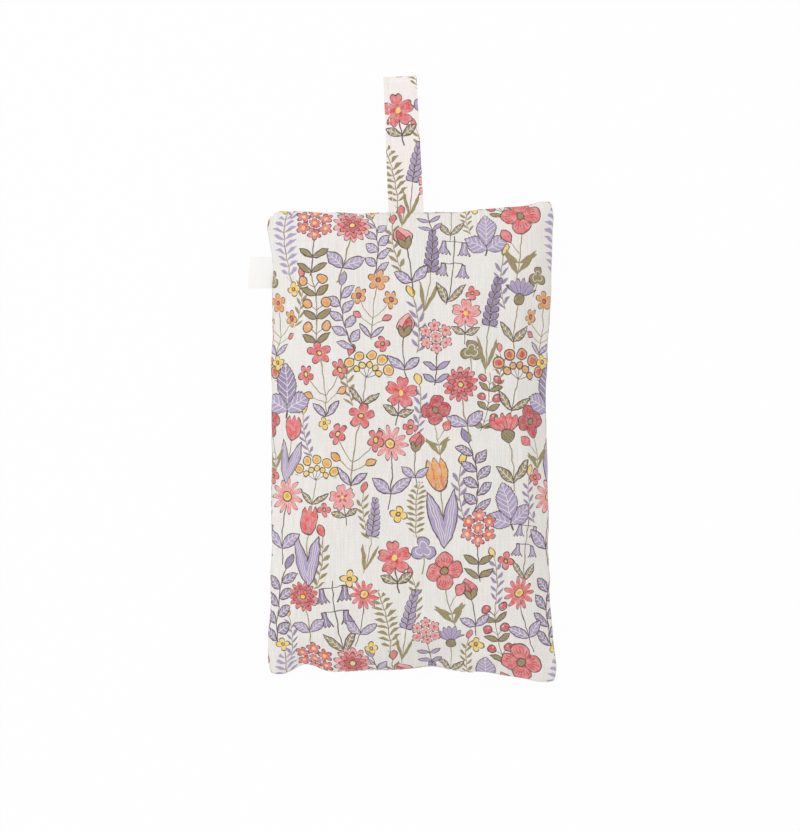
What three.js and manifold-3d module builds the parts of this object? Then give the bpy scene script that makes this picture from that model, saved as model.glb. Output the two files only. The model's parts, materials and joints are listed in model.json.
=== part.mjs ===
// Lavender sachet: a stuffed bag of printed cotton lying on its back, with a hanging loop of the
// same cloth in its top seam and a folded tape label in its left side seam.
// Millimetres, +Z up, +Y towards the loop, +X to the right of the front panel. The origin is the
// middle of the flat patch of the back panel that the bag lies on.
import * as THREE from 'three';
import { mergeVertices } from 'three/addons/utils/BufferGeometryUtils.js';
import Module from 'manifold-3d';

const wasm = await Module();
wasm.setup();

// Bag, as stuffed
const BAG_WIDTH = 120; // from corner to corner across an end
const BAG_LENGTH = 196; // from corner to corner down a side
const SIDE_PULL = 3.1; // how far the filling draws each long side in at its middle
const END_PULL = 2.75; // how far it draws each end in at its middle
const SEAM_HEIGHT = 7; // of the seam above the table
const CROWN = 15.8; // rise of the front panel above the seam
const SETTLE = 0.04; // share by which the front is fuller at the bottom end, where the filling settles
const BELLY_PRESS = 8; // how much further the back panel would hang with no table under it
const CLOTH = 0.4; // cotton panel
const SEAM_ALLOWANCE = 8; // width of the cloth turned in along the seam
const TURNING_GAP = 60; // length of the bottom seam left open for turning and filling

// Swell of a stuffed panel: a high power keeps the middle flat, a low one makes the rim steep
const WIDTH_POWER = 3.5;
const LENGTH_POWER = 5;
const RIM_POWER = 0.75;

// Sewing thread
const THREAD = 0.4; // diameter
const SEAM_LINE = 4; // from the bag's edge to the row of stitches

// Hanging loop
const LOOP_WIDTH = 14.5;
const LOOP_TAPE = 0.6; // one leg: the strip's edges are turned in and stitched
const LOOP_LENGTH = 56.4; // from the top seam to the outside of the fold
const LOOP_EYE = 7; // inside height of the fold
const LOOP_OFFSET = -1.6; // from the middle of the top seam, along X
const LOOP_LEAN = 3.4; // degrees to the left
const LOOP_DROP = 30; // how far from the seam the lower leg reaches the table
const LOOP_EYE_START = 3; // from the swing axis to the place where the legs part
const LOOP_CATCH = 6.5; // length caught in the seam
const LOOP_ROOT = 0.75; // radius of the rounded root
const LOOP_HINGE_OUT = 1.2; // from the top seam to the swing axis
const LOOP_STITCH_INSET = 1.5; // from the loop's left edge to its row of stitches
const LOOP_STITCH_START = 5; // from the swing axis to the first stitch

// Side label: a tape folded in half, with the fold outwards
const LABEL_WIDTH = 13; // along the seam
const LABEL_LENGTH = 10.4; // from the side seam to the fold
const LABEL_TAPE = 0.3;
const LABEL_SLOT = 0.3; // between the two leaves
const LABEL_DROP = 28; // from the bag's top corner to the label's middle, down the side
const LABEL_CATCH = 6.5;
const LABEL_HINGE_OUT = 1.1;

// Clearances
const SEAM_GAP = 0.3; // between the two panels
const FIT = 0.3; // between other neighbours
const BELLY_SLACK = 1; // between the filling and the back panel where the panel curves up to the seam
const STUB = 0.15; // how far a caught end stands out of the seam

// Steps of the faceted surfaces
const WIDTH_STEPS = 14;
const LENGTH_STEPS = 22;
const LEG_STEPS = 12;
const FOLD_FACETS = 9; // an odd count, so that the middle facet stands upright
const ROOT_FACETS = 6;
const THREAD_SIDES = 5;
const SEAM_STEPS = 80;

// Heights of the seam's layers from the seam's own level
const flangeFace = SEAM_GAP / 2;
const flangeBack = flangeFace + CLOTH;
const threadLevel = flangeBack + FIT + THREAD / 2;
const grooveLevel = threadLevel + THREAD / 2 + FIT;
const belly = SEAM_HEIGHT + BELLY_PRESS;

// Outlines in plan: how far each lies inside the bag's edge, and how much its corners are drawn in
const edgeOutline = { inset: 0, rounding: 0 };
const hollowOutline = { inset: 2 * CLOTH, rounding: 0.12 };
const seamOutline = { inset: SEAM_LINE, rounding: 0.16 };
const flangeOutline = { inset: SEAM_ALLOWANCE, rounding: 0.2 };
const grooveOutline = { inset: SEAM_ALLOWANCE + 2 * FIT, rounding: 0.2 };
const fillingOutline = { inset: hollowOutline.inset + 2, rounding: 0.2 };

const cottonMaterial = new THREE.MeshStandardMaterial({ color: 0xe9e5df, roughness: 0.9, metalness: 0 });
const labelMaterial = new THREE.MeshStandardMaterial({ color: 0xfaf9f6, roughness: 0.8, metalness: 0 });
const threadMaterial = new THREE.MeshStandardMaterial({ color: 0xefe9e2, roughness: 0.7, metalness: 0 });
const lavenderMaterial = new THREE.MeshStandardMaterial({ color: 0x6f6787, roughness: 1, metalness: 0 });

// A point in plan. u and v run from -1 to 1 across the width and up the length.
function planPoint(u, v, { inset, rounding }) {
  const halfWidth = BAG_WIDTH / 2 - inset - SIDE_PULL * (1 - v * v);
  const halfLength = BAG_LENGTH / 2 - inset - END_PULL * (1 - u * u);
  return [
    u * halfWidth * Math.sqrt(1 - rounding * v * v),
    v * halfLength * Math.sqrt(1 - rounding * u * u),
  ];
}

// Share of a panel's full swell: 0 along the seam, 1 in the middle.
function swell(u, v) {
  const across = 1 - Math.abs(u) ** WIDTH_POWER;
  const along = 1 - Math.abs(v) ** LENGTH_POWER;
  return (across * along) ** RIM_POWER;
}

// Steps from -1 to 1 that crowd towards the ends, where a panel is steep.
function crowdedSteps(count) {
  return Array.from({ length: count + 1 }, (_, i) => Math.sin((i / count - 0.5) * Math.PI));
}

const acrossSteps = crowdedSteps(WIDTH_STEPS);
const alongSteps = crowdedSteps(LENGTH_STEPS);

// Grid places along the rim, anticlockwise from the bottom left corner.
const rimPlaces = [];
for (let i = 0; i < WIDTH_STEPS; i += 1) rimPlaces.push([i, 0]);
for (let j = 0; j < LENGTH_STEPS; j += 1) rimPlaces.push([WIDTH_STEPS, j]);
for (let i = WIDTH_STEPS; i > 0; i -= 1) rimPlaces.push([i, LENGTH_STEPS]);
for (let j = LENGTH_STEPS; j > 0; j -= 1) rimPlaces.push([0, j]);

// A closed skin: an upper sheet and a lower one, with level rings between their rims. A sheet has
// an outline and a height for each place, and a ring has an outline and one height.
function closedSkin(upper, rings, lower) {
  const points = [];
  const triangles = [];

  function addSheet({ outline, height }, facesUp) {
    const first = points.length;
    for (const v of alongSteps) {
      for (const u of acrossSteps) points.push([...planPoint(u, v, outline), height(u, v)]);
    }
    const indexAt = (i, j) => first + j * (WIDTH_STEPS + 1) + i;
    for (let j = 0; j < LENGTH_STEPS; j += 1) {
      for (let i = 0; i < WIDTH_STEPS; i += 1) {
        const [a, b] = [indexAt(i, j), indexAt(i + 1, j)];
        const [c, d] = [indexAt(i + 1, j + 1), indexAt(i, j + 1)];
        // the diagonals mirror about the bag's middle, so that both halves have the same facets
        const quad = (i < WIDTH_STEPS / 2) === (j < LENGTH_STEPS / 2)
          ? [[a, b, c], [a, c, d]]
          : [[a, b, d], [b, c, d]];
        for (const corners of quad) triangles.push(facesUp ? corners : corners.toReversed());
      }
    }
    return rimPlaces.map(([i, j]) => indexAt(i, j));
  }

  function addRing({ outline, level }) {
    return rimPlaces.map(([i, j]) => {
      points.push([...planPoint(acrossSteps[i], alongSteps[j], outline), level]);
      return points.length - 1;
    });
  }

  const upperRim = addSheet(upper, true);
  const ringRims = rings.map(addRing);
  const rims = [upperRim, ...ringRims, addSheet(lower, false)];
  for (let r = 0; r + 1 < rims.length; r += 1) {
    const [above, below] = [rims[r], rims[r + 1]];
    above.forEach((corner, k) => {
      const next = (k + 1) % above.length;
      triangles.push([corner, below[k], below[next]], [corner, below[next], above[next]]);
    });
  }

  const geometry = new THREE.BufferGeometry();
  geometry.setAttribute('position', new THREE.Float32BufferAttribute(points.flat(), 3));
  geometry.setIndex(triangles.flat());
  return geometry;
}

function toSolid(geometry) {
  const bare = geometry.clone();
  bare.deleteAttribute('normal');
  bare.deleteAttribute('uv');
  const merged = mergeVertices(bare);
  return new wasm.Manifold(new wasm.Mesh({
    numProp: 3,
    vertProperties: new Float32Array(merged.attributes.position.array),
    triVerts: new Uint32Array(merged.index.array),
  }));
}

// A geometry with each of the cutting geometries taken out of it.
function cutAway(geometry, cutters) {
  const solid = cutters.reduce((rest, cutter) => rest.subtract(toSolid(cutter)), toSolid(geometry));
  const mesh = solid.getMesh();
  const result = new THREE.BufferGeometry();
  result.setAttribute('position', new THREE.Float32BufferAttribute(mesh.vertProperties, 3));
  result.setIndex(Array.from(mesh.triVerts));
  return result;
}

function namedMesh(name, geometry, material) {
  geometry.computeVertexNormals();
  const mesh = new THREE.Mesh(geometry, material);
  mesh.name = name;
  return mesh;
}

// A box between two corners.
function boxBetween(low, high) {
  const size = high.map((value, k) => value - low[k]);
  const box = new THREE.BoxGeometry(...size);
  return box.translate(...low.map((value, k) => value + size[k] / 2));
}

// A length of thread along points.
function threadAlong(points, steps) {
  const corners = Array.from({ length: THREAD_SIDES }, (_, k) => {
    const turn = (k / THREAD_SIDES) * 2 * Math.PI;
    return new THREE.Vector2(Math.cos(turn), Math.sin(turn)).multiplyScalar(THREAD / 2);
  });
  const path = new THREE.CatmullRomCurve3(points.map((p) => new THREE.Vector3(...p)));
  return new THREE.ExtrudeGeometry(new THREE.Shape(corners), { steps, extrudePath: path });
}

// An extruded side view: the outline's points run along +Y and up +Z, and the depth runs along +X.
function extrudeSideways(outline, hole, depth) {
  const shape = new THREE.Shape(outline.map((p) => new THREE.Vector2(...p)));
  shape.holes.push(new THREE.Path(hole.map((p) => new THREE.Vector2(...p))));
  const geometry = new THREE.ExtrudeGeometry(shape, { depth, bevelEnabled: false });
  const along = new THREE.Vector3(0, 1, 0);
  const up = new THREE.Vector3(0, 0, 1);
  const across = new THREE.Vector3(1, 0, 0);
  geometry.translate(0, 0, -depth / 2);
  return geometry.applyMatrix4(new THREE.Matrix4().makeBasis(along, up, across));
}

// Points of an arc in a side view, from one angle to another in degrees.
function arcPoints([along, up], radius, from, to, facets) {
  return Array.from({ length: facets + 1 }, (_, k) => {
    const angle = THREE.MathUtils.degToRad(from + ((to - from) * k) / facets);
    return [along + radius * Math.cos(angle), up + radius * Math.sin(angle)];
  });
}

const stepsBetween = (from, to, count) =>
  Array.from({ length: count + 1 }, (_, k) => from + ((to - from) * k) / count);

// Where the loop and the label leave the seam
const loopShare = LOOP_OFFSET / (BAG_WIDTH / 2);
const loopEdge = planPoint(loopShare, 1, edgeOutline)[1];
const labelY = BAG_LENGTH / 2 - LABEL_DROP;
const labelShare = labelY / (BAG_LENGTH / 2);
const labelEdge = planPoint(-1, labelShare, edgeOutline)[0];
const labelThickness = 2 * LABEL_TAPE + LABEL_SLOT;

// The ends of the loop and of the label that the seam holds
const loopCatchLow = [LOOP_OFFSET - LOOP_WIDTH / 2, loopEdge - LOOP_CATCH, SEAM_HEIGHT - LOOP_TAPE];
const loopCatchHigh = [LOOP_OFFSET + LOOP_WIDTH / 2, loopEdge + STUB, SEAM_HEIGHT + LOOP_TAPE];
const labelCatchLow = [labelEdge - STUB, labelY - LABEL_WIDTH / 2, SEAM_HEIGHT - labelThickness / 2];
const labelCatchHigh = [labelEdge + LABEL_CATCH, labelY + LABEL_WIDTH / 2, SEAM_HEIGHT + labelThickness / 2];

// The room that the panels leave for a caught end, out past their edge.
function catchNotch(low, high, outwards) {
  const notchLow = low.map((value, k) => value - FIT + Math.min(0, outwards[k]));
  const notchHigh = high.map((value, k) => value + FIT + Math.max(0, outwards[k]));
  return boxBetween(notchLow, notchHigh);
}

const notches = [
  catchNotch(loopCatchLow, loopCatchHigh, [0, END_PULL, 0]),
  catchNotch(labelCatchLow, labelCatchHigh, [-SIDE_PULL, 0, 0]),
];

function makeBag() {
  const bag = new THREE.Group();
  const frontSwell = (u, v) => swell(u, v) * (1 - SETTLE * v);

  const frontSkin = closedSkin(
    {
      outline: edgeOutline,
      height: (u, v) => SEAM_HEIGHT + flangeFace + CROWN * frontSwell(u, v),
    },
    [
      { outline: flangeOutline, level: SEAM_HEIGHT + flangeFace },
      { outline: flangeOutline, level: SEAM_HEIGHT + flangeBack },
    ],
    {
      outline: hollowOutline,
      height: (u, v) => SEAM_HEIGHT + flangeBack + (CROWN - 2 * CLOTH) * frontSwell(u, v),
    },
  );
  bag.add(namedMesh('front_panel', cutAway(frontSkin, notches), cottonMaterial));

  // the table presses the back panel flat at height 0
  const backSkin = closedSkin(
    {
      outline: hollowOutline,
      height: (u, v) => Math.max(CLOTH, SEAM_HEIGHT - flangeBack - (belly - 2 * CLOTH) * swell(u, v)),
    },
    [
      { outline: flangeOutline, level: SEAM_HEIGHT - flangeBack },
      { outline: flangeOutline, level: SEAM_HEIGHT - flangeFace },
    ],
    {
      outline: edgeOutline,
      height: (u, v) => Math.max(0, SEAM_HEIGHT - flangeFace - belly * swell(u, v)),
    },
  );
  bag.add(namedMesh('back_panel', cutAway(backSkin, notches), cottonMaterial));

  // the filling swells to just short of the cloth and leaves a groove for the turned-in seam
  const fillingRise = flangeFace + CROWN - CLOTH - FIT - grooveLevel;
  const fillingFall = belly - CLOTH - BELLY_SLACK - (grooveLevel - flangeFace);
  const filling = closedSkin(
    {
      outline: fillingOutline,
      height: (u, v) => SEAM_HEIGHT + grooveLevel + fillingRise * frontSwell(u, v),
    },
    [
      { outline: grooveOutline, level: SEAM_HEIGHT + grooveLevel },
      { outline: grooveOutline, level: SEAM_HEIGHT - grooveLevel },
    ],
    {
      outline: fillingOutline,
      height: (u, v) => Math.max(CLOTH + FIT, SEAM_HEIGHT - grooveLevel - fillingFall * swell(u, v)),
    },
  );
  bag.add(namedMesh('lavender_filling', filling, lavenderMaterial));

  bag.add(namedMesh('loop_sewn_end', boxBetween(loopCatchLow, loopCatchHigh), cottonMaterial));
  bag.add(namedMesh('label_sewn_end', boxBetween(labelCatchLow, labelCatchHigh), labelMaterial));
  return bag;
}

// The seam's threads run round the bag from one end of the turning gap to the other, one on each
// side of the turned-in cloth, and a third thread closes the gap.
function makeSeamThreads() {
  const threads = new THREE.Group();
  const gapShare = TURNING_GAP / BAG_WIDTH;
  const gapEnds = [gapShare, -gapShare].map((u) => planPoint(u, -1, seamOutline));
  const corners = rimPlaces.map(([i, j]) => [acrossSteps[i], alongSteps[j]]);
  const outsideGap = corners.filter(([u, v]) => v > -1 || Math.abs(u) > gapShare + THREAD / BAG_WIDTH);
  const lastOfLeft = outsideGap.findIndex(([u, v]) => v === -1 && u > 0);
  const inOrder = [...outsideGap.slice(lastOfLeft), ...outsideGap.slice(0, lastOfLeft)];
  const seamRoute = [gapEnds[0], ...inOrder.map(([u, v]) => planPoint(u, v, seamOutline)), gapEnds[1]];

  for (const [name, side] of [['seam_needle_thread', 1], ['seam_bobbin_thread', -1]]) {
    const level = SEAM_HEIGHT + side * threadLevel;
    const route = seamRoute.map(([x, y]) => [x, y, level]);
    threads.add(namedMesh(name, threadAlong(route, SEAM_STEPS), threadMaterial));
  }

  const closingShare = gapShare - (FIT + THREAD) / (BAG_WIDTH / 2);
  const closingRoute = stepsBetween(-closingShare, closingShare, WIDTH_STEPS)
    .map((u) => [...planPoint(u, -1, seamOutline), SEAM_HEIGHT + threadLevel]);
  threads.add(namedMesh('closing_thread', threadAlong(closingRoute, WIDTH_STEPS), threadMaterial));
  return threads;
}

// The loop swings about an axis along X just outside the top seam. Its lower leg comes down to
// the table and lies on it, and its upper leg stands off it, round the open eye.
function makeLoop() {
  const loop = new THREE.Group();
  loop.position.set(LOOP_OFFSET, loopEdge + LOOP_HINGE_OUT, SEAM_HEIGHT);
  const reach = LOOP_LENGTH - LOOP_HINGE_OUT;
  const foldRadius = LOOP_EYE / 2 + LOOP_TAPE;
  const foldStart = reach - foldRadius;
  const foldMiddle = [foldStart, foldRadius - SEAM_HEIGHT];

  const ease = (share) => THREE.MathUtils.smoothstep(share, 0, 1);
  const lowerLeg = (s) => -LOOP_ROOT + (LOOP_ROOT - SEAM_HEIGHT) * ease(s / LOOP_DROP);
  const upperLeg = (s) => LOOP_ROOT + (2 * foldRadius - SEAM_HEIGHT - LOOP_ROOT) * ease(s / foldStart);

  const outwards = stepsBetween(0, foldStart, LEG_STEPS).slice(1, -1);
  const outline = [
    ...arcPoints([0, 0], LOOP_ROOT, 90, 270, ROOT_FACETS),
    ...outwards.map((s) => [s, lowerLeg(s)]),
    ...arcPoints(foldMiddle, foldRadius, -90, 90, FOLD_FACETS),
    ...outwards.toReversed().map((s) => [s, upperLeg(s)]),
  ];
  const eyeSteps = stepsBetween(LOOP_EYE_START, foldStart, LEG_STEPS).slice(0, -1);
  const eye = [
    ...eyeSteps.map((s) => [s, lowerLeg(s) + LOOP_TAPE]),
    ...arcPoints(foldMiddle, LOOP_EYE / 2, -90, 90, FOLD_FACETS),
    ...eyeSteps.toReversed().map((s) => [s, upperLeg(s) - LOOP_TAPE]),
  ];
  const lean = Math.tan(THREE.MathUtils.degToRad(LOOP_LEAN));
  const leaning = new THREE.Matrix4().makeShear(0, 0, -lean, 0, 0, 0);
  const tape = extrudeSideways(outline, eye, LOOP_WIDTH).applyMatrix4(leaning);
  loop.add(namedMesh('hanging_loop', tape, cottonMaterial));

  const stitchSide = LOOP_STITCH_INSET - LOOP_WIDTH / 2;
  const stitchRoute = stepsBetween(LOOP_STITCH_START, foldStart, LEG_STEPS)
    .map((s) => [stitchSide - lean * s, s, upperLeg(s) + FIT + THREAD / 2]);
  loop.add(namedMesh('loop_edge_thread', threadAlong(stitchRoute, LEG_STEPS), threadMaterial));
  return loop;
}

// The label flips about an axis along Y just outside the side seam.
function makeLabel() {
  const label = new THREE.Group();
  label.position.set(labelEdge - LABEL_HINGE_OUT, labelY, SEAM_HEIGHT);
  const halfThickness = labelThickness / 2;
  const foldMiddle = [LABEL_LENGTH - LABEL_HINGE_OUT - halfThickness, 0];
  const outline = [
    ...arcPoints([0, 0], halfThickness, 90, 270, ROOT_FACETS),
    ...arcPoints(foldMiddle, halfThickness, -90, 90, FOLD_FACETS),
  ];
  const slot = [
    [halfThickness, -LABEL_SLOT / 2],
    ...arcPoints(foldMiddle, LABEL_SLOT / 2, -90, 90, FOLD_FACETS),
    [halfThickness, LABEL_SLOT / 2],
  ];
  const tape = namedMesh('side_label', extrudeSideways(outline, slot, LABEL_WIDTH), labelMaterial);
  // the side view's +Y is turned to -X, out of the bag's left side
  tape.rotation.z = Math.PI / 2;
  label.add(tape);
  return label;
}

const sachet = new THREE.Group();
sachet.add(makeBag(), makeSeamThreads(), makeLoop(), makeLabel());

export default sachet;
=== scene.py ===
# %% [markdown]
# # A lavender sachet
# A stuffed bag of printed cotton lies on its back on a white table. A loop of the same cloth is
# caught in its top seam, and a small folded label in its left side seam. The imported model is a
# fixed frame: it says where each piece goes, and every piece made here moves with one of its bodies.

# %% Load the frame
import contextlib
import json
import math
import random

import bpy
from mathutils import Matrix, Vector, noise

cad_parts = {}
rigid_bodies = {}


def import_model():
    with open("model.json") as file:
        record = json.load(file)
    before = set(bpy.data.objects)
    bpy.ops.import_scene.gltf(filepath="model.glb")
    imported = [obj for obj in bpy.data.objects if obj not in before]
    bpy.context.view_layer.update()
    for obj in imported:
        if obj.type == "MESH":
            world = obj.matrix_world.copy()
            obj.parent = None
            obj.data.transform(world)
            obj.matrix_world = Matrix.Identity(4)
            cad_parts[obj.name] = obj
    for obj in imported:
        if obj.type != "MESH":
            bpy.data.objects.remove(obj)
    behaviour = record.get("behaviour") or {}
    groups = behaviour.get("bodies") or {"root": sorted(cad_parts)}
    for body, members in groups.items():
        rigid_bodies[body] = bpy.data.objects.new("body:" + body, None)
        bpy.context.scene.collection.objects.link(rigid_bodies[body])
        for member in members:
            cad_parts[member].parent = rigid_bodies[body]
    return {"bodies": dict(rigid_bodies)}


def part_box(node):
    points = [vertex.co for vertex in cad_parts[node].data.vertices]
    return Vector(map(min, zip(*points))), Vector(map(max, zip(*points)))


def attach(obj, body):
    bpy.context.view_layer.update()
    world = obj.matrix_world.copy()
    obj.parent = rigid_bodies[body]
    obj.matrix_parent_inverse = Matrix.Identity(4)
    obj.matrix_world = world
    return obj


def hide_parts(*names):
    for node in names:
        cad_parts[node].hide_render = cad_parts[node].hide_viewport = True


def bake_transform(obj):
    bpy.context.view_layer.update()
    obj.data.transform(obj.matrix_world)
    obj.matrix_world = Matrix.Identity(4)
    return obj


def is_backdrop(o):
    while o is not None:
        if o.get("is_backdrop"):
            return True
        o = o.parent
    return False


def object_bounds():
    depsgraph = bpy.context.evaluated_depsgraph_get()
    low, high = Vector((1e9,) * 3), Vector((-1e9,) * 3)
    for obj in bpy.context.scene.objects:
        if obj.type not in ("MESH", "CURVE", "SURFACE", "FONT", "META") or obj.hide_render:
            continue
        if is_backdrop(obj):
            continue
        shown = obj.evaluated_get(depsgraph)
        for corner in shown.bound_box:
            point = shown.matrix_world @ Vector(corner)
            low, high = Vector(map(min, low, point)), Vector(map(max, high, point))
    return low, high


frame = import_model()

MM = 0.001
cad_low, cad_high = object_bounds()
scene = bpy.context.scene
scene.view_settings.view_transform = "Standard"
bpy.ops.object.select_all(action="DESELECT")


def in_mm(lengths):
    return [round(length / MM, 1) for length in lengths]


print("bodies", sorted(frame["bodies"]), "CAD box, mm", in_mm(cad_high - cad_low))

# %% [markdown]
# ## Camera
# The picture looks straight down. One pixel of it covers 0.415 mm at the height of the seam, so a
# camera one metre above the seam gets the lens that makes 800 pixels cover 332 mm. A longer lens
# further up would flatten the bag a little more, and a short one would make its crown loom.

# %% Camera
PIXEL = 0.415 * MM
PICTURE_WIDTH = 800
PICTURE_MIDDLE = (-3.7 * MM, 10.6 * MM)
CAMERA_RISE = 1.0
SENSOR = 36
seam_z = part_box("front_panel")[0].z

bpy.ops.object.camera_add(location=(*PICTURE_MIDDLE, seam_z + CAMERA_RISE), rotation=(0, 0, 0))
camera = bpy.context.object
camera.name = "camera_above"
camera.data.sensor_fit = "HORIZONTAL"
camera.data.sensor_width = SENSOR
camera.data.lens = SENSOR * CAMERA_RISE / (PICTURE_WIDTH * PIXEL)
camera.data.clip_end = 20
scene.camera = camera
print("lens, mm", round(camera.data.lens, 1))

# %% [markdown]
# ## Sums on shader sockets
# A print is drawn by sums: how far is this point inside that petal? Writing every sum as nodes and
# links by hand would hide the drawing. So a small class holds one socket, and Python's own
# operators add the Math node and return the new socket. Any other node comes from `node`.

# %% Wire: one shader socket
class Wire:
    def __init__(self, tree, socket=None):
        self.tree = tree
        self.socket = socket

    def node(self, kind, settings=None, inputs=None, output=0):
        made = self.tree.nodes.new(kind)
        for name, value in (settings or {}).items():
            if name == "stops":
                stops = made.color_ramp.elements
                while len(stops) < len(value):
                    stops.new(1)
                for stop, (place, colour) in zip(stops, value):
                    stop.position = place
                    stop.color = colour
            else:
                setattr(made, name, value)
        for key, value in (inputs or {}).items():
            if isinstance(value, Wire):
                self.tree.links.new(value.socket, made.inputs[key])
            else:
                made.inputs[key].default_value = value
        return Wire(self.tree, made.outputs[output])

    def out(self, name):
        return Wire(self.tree, self.socket.node.outputs[name])

    def to(self, socket):
        self.tree.links.new(self.socket, socket)

    def math(self, operation, *others, clamp=False):
        settings = {"operation": operation, "use_clamp": clamp}
        return self.node("ShaderNodeMath", settings, dict(enumerate((self, *others))))

    def vector(self, operation, *others, output=0, **named):
        inputs = {**dict(enumerate((self, *others))), **named}
        return self.node("ShaderNodeVectorMath", {"operation": operation}, inputs, output)

    def scaled(self, factor, shift=0.0, clamp=False):
        return self.math("MULTIPLY_ADD", factor, shift, clamp=clamp)

    def low(self, other):
        return self.math("MINIMUM", other)

    def high(self, other):
        return self.math("MAXIMUM", other)

    def wrap(self, start, end):
        return self.math("WRAP", end, start)

    def parts(self):
        split = self.node("ShaderNodeSeparateXYZ", inputs={0: self})
        return split, split.out("Y")

    def mix(self, under, over):
        """A colour: under where this mask is 0 or less, over where it is 1 or more."""
        return self.node("ShaderNodeMix", {"data_type": "RGBA"}, {0: self, 6: under, 7: over}, 2)

    def mix_vectors(self, under, over):
        return self.node("ShaderNodeMix", {"data_type": "VECTOR"}, {0: self, 4: under, 5: over}, 1)

    def cloud(self, scale, detail=2.0, plane=True, output=0):
        """Noise at this point, on the plane of the cloth or in space."""
        settings = {"noise_dimensions": "2D" if plane else "3D"}
        inputs = {"Vector": self, "Scale": scale, "Detail": detail}
        return self.node("ShaderNodeTexNoise", settings, inputs, output)

    def dent(self, shader, strength, distance):
        """Shades a finish as if this were its height, over a distance in metres."""
        inputs = {"Strength": strength, "Distance": distance, "Height": self}
        self.node("ShaderNodeBump", inputs=inputs).to(shader.inputs["Normal"])

    def __add__(self, other):
        return self.math("ADD", other)

    def __sub__(self, other):
        return self.math("SUBTRACT", other)

    def __rsub__(self, other):
        return self.scaled(-1, other)

    def __mul__(self, other):
        return self.math("MULTIPLY", other)

    def __abs__(self):
        return self.math("ABSOLUTE")

    __radd__ = __add__
    __rmul__ = __mul__


def new_finish(name, plain):
    """A new material with its plain values, a wire to start its sums from, and its shader node."""
    finish = bpy.data.materials.new(name)
    finish.use_nodes = True
    shader = finish.node_tree.nodes["Principled BSDF"]
    for socket, value in plain.items():
        shader.inputs[socket].default_value = value
    return finish, Wire(finish.node_tree), shader


def ink(red, green, blue):
    """A colour as it is read off a screen, turned to the straight scale that shaders use."""
    def straight(value):
        value /= 255
        return value / 12.92 if value <= 0.04045 else ((value + 0.055) / 1.055) ** 2.4
    return (straight(red), straight(green), straight(blue), 1)


print("an even grey of 128 is", round(ink(128, 128, 128)[0], 3), "on the straight scale")

# %% [markdown]
# ## Table and light
# The sachet was photographed on a white sweep under soft light from the upper left. The table is
# one white sheet. For rays that come straight from the camera most of it is replaced by an even
# white, so that the background is clean, and the rest keeps the sachet's shadow.

# %% Table
bpy.ops.mesh.primitive_plane_add(size=8, location=(0, 0, -0.2 * MM))
table = bpy.context.object
table.name = "table"
bpy.ops.object.transform_apply(location=True)
table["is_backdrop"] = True

EVEN_WHITE = 0.965


def seen_from_camera(start):
    """1 for the rays that the camera sees straight, in a mirror or through glass, and 0 for others."""
    ray = start.node("ShaderNodeLightPath", output="Is Camera Ray")
    return ray.high(ray.out("Is Glossy Ray")).high(ray.out("Is Transmission Ray"))


white_table, start, shader = new_finish("white_table", {"Base Color": (0.8, 0.8, 0.8, 1), "Roughness": 0.9})
glow = start.node("ShaderNodeEmission", inputs={"Color": (1, 1, 1, 1), "Strength": 1.0})
surface = start.node("ShaderNodeMixShader", inputs={
    0: seen_from_camera(start) * EVEN_WHITE, 1: Wire(start.tree, shader.outputs[0]), 2: glow})
surface.to(start.tree.nodes["Material Output"].inputs["Surface"])
table.data.materials.append(white_table)
print("table", in_mm(table.dimensions), "mm, even white", EVEN_WHITE)

# %% [markdown]
# A large lamp high on the upper left gives the soft shading: the right and bottom sides of the bag
# come out a little darker than its top and left. The world fills the rest evenly. Together they
# light a level surface to about its own written colour.

# %% Light
SKY = 0.86
LAMP_WATTS = 4.8
world = bpy.data.worlds.new("soft_room")
scene.world = world
world.use_nodes = True
room = Wire(world.node_tree)
backdrop = world.node_tree.nodes["Background"]
seen_from_camera(room).scaled(1 - SKY, SKY).to(backdrop.inputs["Strength"])
backdrop.inputs["Color"].default_value = (1, 1, 1, 1)

bpy.ops.object.light_add(type="AREA", location=(-0.85, 0.75, 1.05))
lamp = bpy.context.object
lamp.name = "window_lamp"
lamp.data.size = 0.9
lamp.data.energy = LAMP_WATTS
lamp.rotation_euler = (Vector((0, 0, 0)) - lamp.location).to_track_quat("-Z", "Y").to_euler()
print("lamp", LAMP_WATTS, "W, sky", SKY)

# %% [markdown]
# ## The print
# The cotton carries a meadow of small flowers in coral, pink, violet, olive and yellow, with fine
# plum outlines. This is a plain meadow of common garden flowers. Every shape is a sum that tells
# how far a point lies inside it, in millimetres: above zero is inked, and close to zero is the
# outline. The sums read the flat cloth's own coordinates, so that the print follows each fold.

# %% Inks
CORAL = ink(227, 122, 122)
ROSE = ink(203, 94, 98)
PINK = ink(239, 166, 164)
VIOLET = ink(172, 157, 191)
DUSK = ink(148, 132, 166)
OLIVE = ink(149, 134, 90)
ORANGE = ink(229, 169, 104)
YELLOW = ink(241, 209, 114)
PLUM = ink(82, 57, 60)
PALE = ink(236, 231, 226)
BLEED = 0.17
LINE = 0.42


class Printing:
    """The cloth's colour so far, with one more ink laid over it at each step."""

    def __init__(self, ground, miss):
        self.colour = ground
        self.miss = miss

    def lay(self, mask, colour):
        self.colour = mask.mix(self.colour, colour)

    def wash(self, shape, colour):
        """An inked shape without an outline."""
        self.lay(shape.scaled(1 / BLEED, 0.5), colour)

    def fill(self, shape, colour):
        """An inked shape with an outline. Here and there the ink stops a little short of it."""
        self.wash(shape - self.miss, colour)
        self.draw(abs(shape), LINE, PLUM)

    def draw(self, away, width, colour):
        """A line where the distance away is small."""
        self.lay(away.scaled(-1 / BLEED, width / 2 / BLEED + 0.5), colour)


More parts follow.
